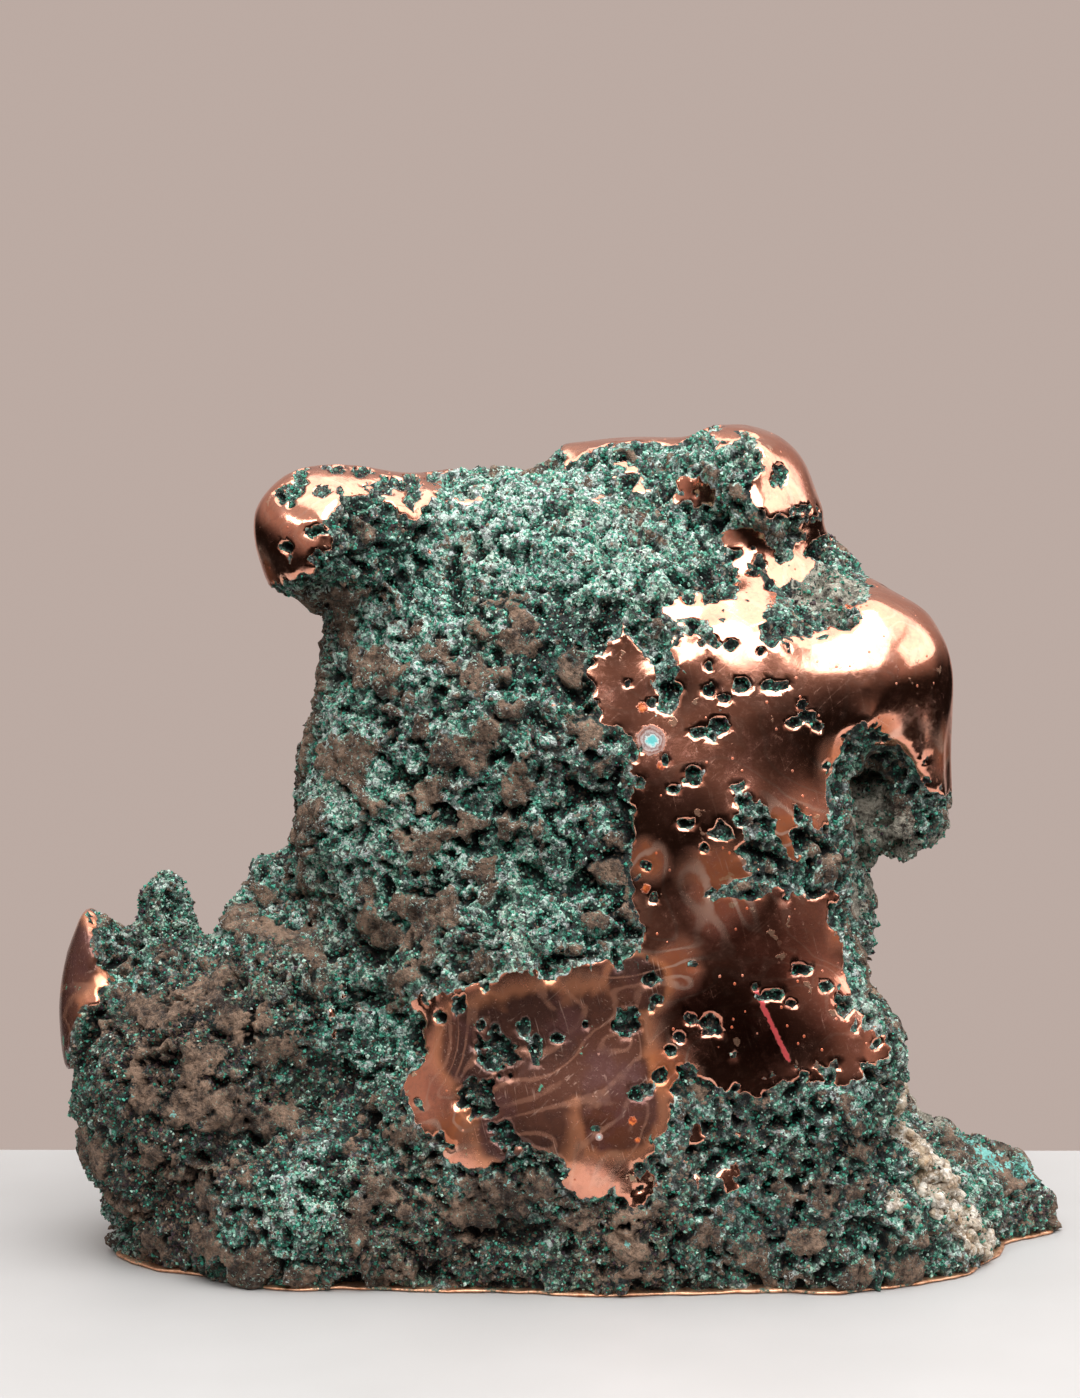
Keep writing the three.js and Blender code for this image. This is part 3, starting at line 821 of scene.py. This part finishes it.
    stained = (specks + flecks + eyed + spotted).least(1.0)
    shine = 0.12 + 0.10 * haze + 0.08 * scratch + 0.12 * stained + 0.10 * film + 0.08 * cloud
    matt = 0.42 + 0.40 * tone + 0.2 * scab
    grit = 0.95 * fine + 0.40 * tone - 0.30 * grain - 0.15 * flake
    relief = ((1 - 0.6 * scab) * grit + 0.55 * scab * (fine + small)) * (1 - copper)
    smooth = (0.05 * stained + 0.002 * scratch + 0.006 * fine + 0.02 * small) * copper
    bright = copper * (1 - 0.8 * stained) * (1 - 0.5 * film) * (1 - 0.35 * rusty) * (1 - 0.7 * streak)
    return r.finish(r.blend(copper, crust, metal), matt + copper * (shine - matt), bright, relief + smooth)


# ------------------------------------------------------------------ the saw's burr
BURR_STEP = 0.8
BURR_OVERHANG = (0.5, 1.7)  # least and mean reach past the sawn face's rim
BURR_THICK = 0.7


def sawn_rim():
    """The rim of the sawn face, in order: the edges of its triangles that no second triangle shares, end to
    end."""
    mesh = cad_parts["nugget"].data
    spots = np.round(vectors_of(mesh.vertices, "co")[triangles_of(mesh)] / MM, 2)
    spots = spots[(np.abs(spots[:, :, 2]) < 0.02).all(1)]
    places, numbers = np.unique(spots.reshape(-1, 3), axis=0, return_inverse=True)
    triangles = numbers.reshape(-1, 3)
    sides = np.concatenate([triangles[:, [0, 1]], triangles[:, [1, 2]], triangles[:, [2, 0]]])
    known = {(a, b) for a, b in sides.tolist()}
    following = {a: b for a, b in known if (b, a) not in known}
    rims = []
    while following:
        start, here = following.popitem()
        rim = [start]
        while here != start:
            rim.append(here)
            here = following.pop(here)
        rims.append(places[rim, :2])
    return max(rims, key=len)


def saw_burr():
    """The thin copper lip that the saw left: a flat section with a rounded tip, carried round the rim. Its
    reach and its lift vary with noise along the way."""
    rim = sawn_rim()
    rim = np.concatenate([rim, rim[:1]])
    along = np.concatenate([[0], np.cumsum(np.linalg.norm(np.diff(rim, axis=0), axis=1))])
    count = int(along[-1] / BURR_STEP)
    at = np.arange(count) * along[-1] / count
    path = np.stack([np.interp(at, along, rim[:, i]) for i in (0, 1)], 1)
    for _ in range(6):
        path = (np.roll(path, 1, 0) + 2 * path + np.roll(path, -1, 0)) / 4
    way = np.roll(path, -1, 0) - np.roll(path, 1, 0)
    way /= np.linalg.norm(way, axis=1)[:, None]
    out = np.stack([way[:, 1], -way[:, 0]], 1)
    if np.sum(out * (path - path.mean(0))) < 0:
        out = -out
    spot = np.stack([path[:, 0], path[:, 1], np.zeros(count)], 1)
    least, mean = BURR_OVERHANG
    reach = np.maximum(least, mean + 0.9 * layered_noise(spot, 11, 3, 0.6, seed=61))
    thick = BURR_THICK * (1 + 0.45 * gradient_noise(spot / 6, 62))
    lift = 0.06 + 0.16 * np.maximum(gradient_noise(spot / 9, 63), 0)
    section = [(-3, 0.0, 0), (0.35, 0.0, 0), (0.85, 0.10, 1), (1.0, 0.45, 1), (0.85, 0.85, 1), (0.3, 1.0, 1),
               (-3, 1.5, 0)]
    rows = []
    for share, height, lifted in section:
        far = reach * share if share > 0 else np.full(count, float(share))
        up = 0.05 + height * thick + lifted * lift
        rows.append(np.concatenate([path + out * far[:, None], up[:, None]], 1))
    return ring_piece("saw_burr", np.stack(rows, 1))


def ring_piece(name, grid):
    """A mesh from a grid of points, rows along and columns round. Both close on themselves."""
    rows, columns = grid.shape[:2]
    row, column = np.meshgrid(np.arange(rows), np.arange(columns), indexing="ij")
    over, beside = (row + 1) % rows, (column + 1) % columns
    sides = [row * columns + column, over * columns + column, over * columns + beside, row * columns + beside]
    mesh = bpy.data.meshes.new(name)
    mesh.from_pydata((grid.reshape(-1, 3) * MM).tolist(), [], np.stack(sides, -1).reshape(-1, 4).tolist())
    merge_corners(mesh)
    mesh.shade_smooth()
    return placed(name, mesh)


def burr_finish():
    """Sawn copper: pale orange, brushed, with brown and green in its hollows."""
    r = Recipe("sawn copper lip")
    small = r.noise(2.2, 3, 0.6)
    fine = r.noise(0.6, 2, 0.6)
    metal = r.blend(small.rise(0.45, 0.7), (0.90, 0.52, 0.33), (0.55, 0.24, 0.13))
    stain = (0.6 * r.noise(7, 2, 0.5) + 0.4 * fine).rise(0.55, 0.64)
    colour = r.blend(stain, metal, (0.05, 0.13, 0.10))
    return r.finish(colour, 0.34 + 0.25 * fine + 0.3 * stain, 1 - 0.9 * stain, 0.12 * fine)


# ------------------------------------------------------------------ the quartz seam
QUARTZ_BLOCKS = 420


def quartz(skin):
    """A vein of milky quartz: broken blocks half sunk in the crust along the seam. Each is a sphere squared
    off by its largest coordinate, then stretched, roughened with noise and turned at random."""
    random = np.random.default_rng(74)
    points = vectors_of(skin.data.vertices, "co") / MM
    outs = vectors_of(skin.data.vertices, "normal")
    near = ramp(gathered(points, SEAM) + 0.25 * gradient_noise(points / 4, 76), 0.35, 0.9)
    near *= (points[:, 1] < 0) * (points[:, 2] > 1.5)
    chosen = random.choice(len(points), QUARTZ_BLOCKS, p=near / near.sum())
    ball = bmesh.new()
    bmesh.ops.create_icosphere(ball, subdivisions=2, radius=1)
    corners = np.array([corner.co[:] for corner in ball.verts])
    faces = np.array([[corner.index for corner in face.verts] for face in ball.faces])
    ball.free()
    squared = corners / np.max(np.abs(corners), axis=1)[:, None]
    blocks = []
    for i in chosen:
        turn, _ = np.linalg.qr(random.standard_normal((3, 3)))
        turn *= np.sign(np.linalg.det(turn))
        wide = random.uniform(0.6, 1.9)
        shape = (0.2 * corners + 0.7 * squared) * random.uniform(0.45, 1.15, 3) * wide
        rough = 0.35 * gradient_noise(shape / 1.0 + 50 * random.random(3), 75)
        block = (shape + corners * rough[:, None]) @ turn.T + points[i] - outs[i] * 0.5 * wide
        block[:, 2] = np.maximum(block[:, 2], 0.3)
        blocks.append(block)
    mesh = bpy.data.meshes.new("quartz_seam")
    step = len(corners) * np.arange(QUARTZ_BLOCKS)[:, None, None]
    mesh.from_pydata((np.concatenate(blocks) * MM).tolist(), [], (faces[None] + step).reshape(-1, 3).tolist())
    mesh.update()
    return placed("quartz_seam", mesh)


def quartz_finish():
    """Milky quartz: cream and white grains, tan iron stain, with green specks."""
    r = Recipe("milky quartz")
    grain = r.cells(1.9)
    tone = 1.0 * grain.other("Color")
    small = r.noise(3, 3, 0.6)
    fine = r.noise(0.8, 3, 0.6)
    milk = r.blend((0.5 * tone + 0.5 * small).rise(0.3, 0.7), (0.46, 0.36, 0.25), (0.84, 0.80, 0.72))
    stain = (0.7 * r.noise(6, 3, 0.6) + 0.3 * fine).rise(0.50, 0.64)
    colour = r.blend(stain * 0.8, milk, (0.42, 0.26, 0.13))
    speck = (0.5 * small + 0.5 * fine).rise(0.60, 0.66)
    colour = r.blend(speck * 0.8, colour, (0.05, 0.15, 0.11))
    crack = grain.rise(0.50, 0.68)
    colour = r.blend(crack * 0.5, colour, (0.16, 0.10, 0.06))
    return r.finish(colour, 0.40 + 0.35 * tone, 0.0, 0.6 * fine - 0.4 * grain, {"IOR": 1.54})


# ------------------------------------------------------------------ grains
GRAINS_IN_A_PIECE = 22_000
GRAIN_KINDS = {
    "pale_grains": {"seed": 81, "likes": "pale", "size": (0.20, 0.55), "tones": [
        (0.0, (0.02, 0.14, 0.10)), (0.3, (0.045, 0.30, 0.20)), (0.55, (0.15, 0.46, 0.33)),
        (0.8, (0.45, 0.74, 0.60)), (1.0, (0.66, 0.78, 0.70))]},
    "teal_grains": {"seed": 82, "likes": None, "size": (0.20, 0.55), "tones": [
        (0.0, (0.006, 0.014, 0.012)), (0.3, (0.012, 0.07, 0.048)), (0.6, (0.020, 0.19, 0.120)),
        (0.85, (0.04, 0.34, 0.235)), (1.0, (0.12, 0.52, 0.38))]},
    "brown_grains": {"seed": 83, "likes": "brown", "size": (0.20, 0.60), "tones": [
        (0.0, (0.012, 0.008, 0.010)), (0.3, (0.05, 0.022, 0.035)), (0.55, (0.07, 0.040, 0.028)),
        (0.8, (0.15, 0.095, 0.065)), (1.0, (0.28, 0.20, 0.15))]},
}


def octahedron():
    """Six corners, two on each axis, and the eight faces of neighbouring corners, wound so that they face
    out."""
    corners = np.concatenate([np.eye(3), -np.eye(3)])
    faces = []
    for x, y, z in np.ndindex(2, 2, 2):
        face = [3 * x, 1 + 3 * y, 2 + 3 * z]
        faces.append(face if (x + y + z) % 2 == 0 else face[::-1])
    return corners, np.array(faces)


def skin_samples(skin, likes, count, random):
    """Places on the crust, drawn by area, with more where the liked finish gathers and fewer behind; none
    on ground copper or a scab. Each has its point and its outward normal, in millimetres."""
    mesh = skin.data
    corners = triangles_of(mesh)
    points = vectors_of(mesh.vertices, "co") / MM
    layers = {}
    for name in ("ground", "scab", "pale", "brown"):
        layers[name] = np.empty(len(points), np.float32)
        mesh.attributes[name].data.foreach_get("value", layers[name])
    a, b, c = (points[corners[:, i]] for i in range(3))
    across = np.cross(b - a, c - a)
    area = np.linalg.norm(across, axis=1) / 2
    level = {name: values[corners].mean(1) for name, values in layers.items()}
    weight = area * (level["ground"] < -0.35) * (level["scab"] < 0.3) * (a[:, 2] > 0.9)
    weight *= np.where(a[:, 1] < 15, 1.0, 0.4)
    if likes:
        weight *= 0.25 + level[likes]
    chosen = random.choice(len(weight), count, p=weight / weight.sum())
    u, v = random.random((2, count))
    over = u + v > 1
    u, v = np.where(over, 1 - u, u), np.where(over, 1 - v, v)
    spot = a[chosen] + u[:, None] * (b - a)[chosen] + v[:, None] * (c - a)[chosen]
    return spot, across[chosen] / (2 * area[chosen])[:, None]


def grain_piece(name, skin, seed, likes, size, tones):
    """Angular grains half sunk in the crust: octahedra with each corner pulled in or out, each stretched,
    turned at random, and numbered by a tone that its finish reads."""
    random = np.random.default_rng(seed)
    corners, faces = octahedron()
    count = GRAINS_IN_A_PIECE
    spot, out = skin_samples(skin, likes, count, random)
    radius = size[0] + (size[1] - size[0]) * random.random(count) ** 2
    turns, _ = np.linalg.qr(random.standard_normal((count, 3, 3)))
    shape = corners[None] * (0.70 + 0.5 * random.random((count, 6, 1)))
    shape = shape * (0.55 + 0.8 * random.random((count, 1, 3)))
    points = np.einsum("nij,nkj->nki", turns, shape) * radius[:, None, None]
    points += (spot + out * (0.15 * radius)[:, None])[:, None]
    points[:, :, 2] = np.maximum(points[:, :, 2], 0.1)
    triangles = (faces[None] + 6 * np.arange(count)[:, None, None]).reshape(-1, 3)
    turned = np.repeat(np.linalg.det(turns) < 0, len(faces))
    triangles[turned] = triangles[turned][:, ::-1]
    mesh = bpy.data.meshes.new(name)
    mesh.from_pydata((points.reshape(-1, 3) * MM).tolist(), [], triangles.tolist())
    mesh.update()
    write_layer(mesh, "tone", np.repeat(random.random(count), 6))
    grain_layout(mesh, count, len(faces))
    piece = placed(name, mesh)
    piece.data.materials.append(grain_finish(name, tones))
    return piece


def grain_layout(mesh, count, sides):
    """A flat layout with one small square for each grain, cut into one right-angled corner for each face."""
    across = math.ceil(math.sqrt(count))
    wide = math.ceil(math.sqrt(sides))
    grain, side = np.divmod(np.arange(count * sides), sides)
    corner = np.stack([grain % across, grain // across], 1) / across
    cell = np.stack([side % wide, side // wide], 1) / (wide * across)
    steps = np.array([(0.1, 0.1), (0.9, 0.1), (0.1, 0.9)]) / (wide * across)
    flat = (corner + cell)[:, None] + steps[None]
    layer = mesh.uv_layers.new(name="OFBake")
    layer.data.foreach_set("uv", flat.astype(np.float32).ravel())


def grain_finish(name, tones):
    """Mineral grains, each with a tone of its own and a little mottling, some glassy and some matt."""
    r = Recipe(name.replace("_", " "))
    tone = r.layer("tone")
    fine = r.noise(0.5, 2, 0.6)
    colour = r.add("ShaderNodeValToRGB", {"stops": tones}, {0: tone + 0.35 * (fine - 0.5)})
    return r.finish(colour, 0.58 + 0.35 * fine, 0.0)


# ------------------------------------------------------------------ the pieces
def add_piece(piece, finish):
    if finish:
        piece.data.materials.clear()
        piece.data.materials.append(finish)
    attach(piece, "root")


skin = worked_skin()
add_piece(skin, nugget_finish())
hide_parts("nugget")
add_piece(saw_burr(), burr_finish())
add_piece(quartz(skin), quartz_finish())
for name, kind in GRAIN_KINDS.items():
    add_piece(grain_piece(name, skin, **kind), None)


# ------------------------------------------------------------------ table, light and camera
SLAB = {"wide": 900, "front": -128, "back": 90, "thick": 22, "edge": 3}
CAMERA_AT = (-1.2, -929.9, 237.4)
LOOK_DOWN = 7.11  # degrees
LOOK_LEFT = 0.215
LENS = 110
BACKDROP = (0.50, 0.405, 0.365)
CEILING = (0.60, 0.56, 0.54)
SIDES = (0.42, 0.325, 0.290)
WALL = (0.19, 0.155, 0.142)
ROOM = (0.032, 0.026, 0.024)
FLOOR = (0.010, 0.008, 0.007)


def slab():
    """A pale flat slab with softened edges, under the nugget."""
    mesh = bpy.data.meshes.new("table_slab")
    box = bmesh.new()
    bmesh.ops.create_cube(box, size=1)
    deep = SLAB["back"] - SLAB["front"]
    for corner in box.verts:
        corner.co.x *= SLAB["wide"] * MM
        corner.co.y = (SLAB["front"] + SLAB["back"]) / 2 * MM + corner.co.y * deep * MM
        corner.co.z = (corner.co.z - 0.5) * SLAB["thick"] * MM
    bmesh.ops.bevel(box, geom=box.edges[:], offset=SLAB["edge"] * MM, segments=3, affect="EDGES")
    box.to_mesh(mesh)
    box.free()
    r = Recipe("pale slab")
    cloud = r.noise(60, 3, 0.6)
    mesh.materials.append(r.finish(
        r.blend(cloud, (0.42, 0.415, 0.408), (0.49, 0.485, 0.482)), 0.45 + 0.1 * cloud, 0.0))
    placed("table_slab", mesh)


def softbox(name, at, aim, wide, high, watts):
    lamp = bpy.data.lights.new(name, "AREA")
    lamp.shape = "RECTANGLE"
    lamp.size = wide * MM
    lamp.size_y = high * MM
    lamp.energy = watts
    piece = placed(name, lamp)
    piece.location = Vector(at) * MM
    piece.rotation_euler = (Vector(aim) - Vector(at)).to_track_quat("-Z", "Y").to_euler()
    piece.visible_camera = False


def studio():
    """One softbox above and in front, one overhead, one at the right, and a small lamp at the left, in a
    room that is pale above, taupe straight behind, dim beside and dark in front and below. The camera sees
    only taupe."""
    softbox("key softbox", (75, -400, 670), (40, -30, 135), 700, 680, 6.5)
    softbox("overhead softbox", (0, 60, 800), (0, 0, 120), 1200, 800, 5.6)
    softbox("right softbox", (700, 30, 530), (50, -10, 160), 860, 460, 2.5)
    softbox("small left lamp", (-745, -136, 555), (-57, -24, 163), 60, 60, 0.16)
    world = bpy.data.worlds.new("studio")
    bpy.context.scene.world = world
    world.use_nodes = True
    sky = Nodes(world.node_tree)
    way = sky.add("ShaderNodeTexCoord", {}, {}).other("Generated")
    axes = sky.add("ShaderNodeSeparateXYZ", {}, {0: way})
    away, up = axes.other("Y"), axes.other("Z")
    room = sky.blend(up.rise(-0.14, 0.06), FLOOR, ROOM)
    room = sky.blend(up.rise(0.04, 0.40), room, WALL)
    beside = sky.blend(up.rise(-0.04, 0.30), FLOOR, SIDES)
    room = sky.blend(away.rise(-0.88, -0.55), room, beside)
    room = sky.blend(up.rise(0.33, 0.62), room, CEILING)
    room = sky.blend(away.rise(0.80, 0.94), room, BACKDROP)
    seen = sky.add("ShaderNodeLightPath", {}, {}).other("Is Camera Ray")
    glow = sky.add("ShaderNodeBackground", {}, {"Color": sky.blend(seen, room, BACKDROP)})
    sky.add("ShaderNodeOutputWorld", {}, {"Surface": glow})


def camera():
    lens = bpy.data.cameras.new("camera")
    lens.lens = LENS
    lens.sensor_width = 36
    piece = placed("camera", lens)
    piece.location = Vector(CAMERA_AT) * MM
    piece.rotation_euler = (math.radians(90 - LOOK_DOWN), 0, math.radians(LOOK_LEFT))
    bpy.context.scene.camera = piece


slab()
studio()
camera()
bpy.context.scene.view_settings.view_transform = "Standard"
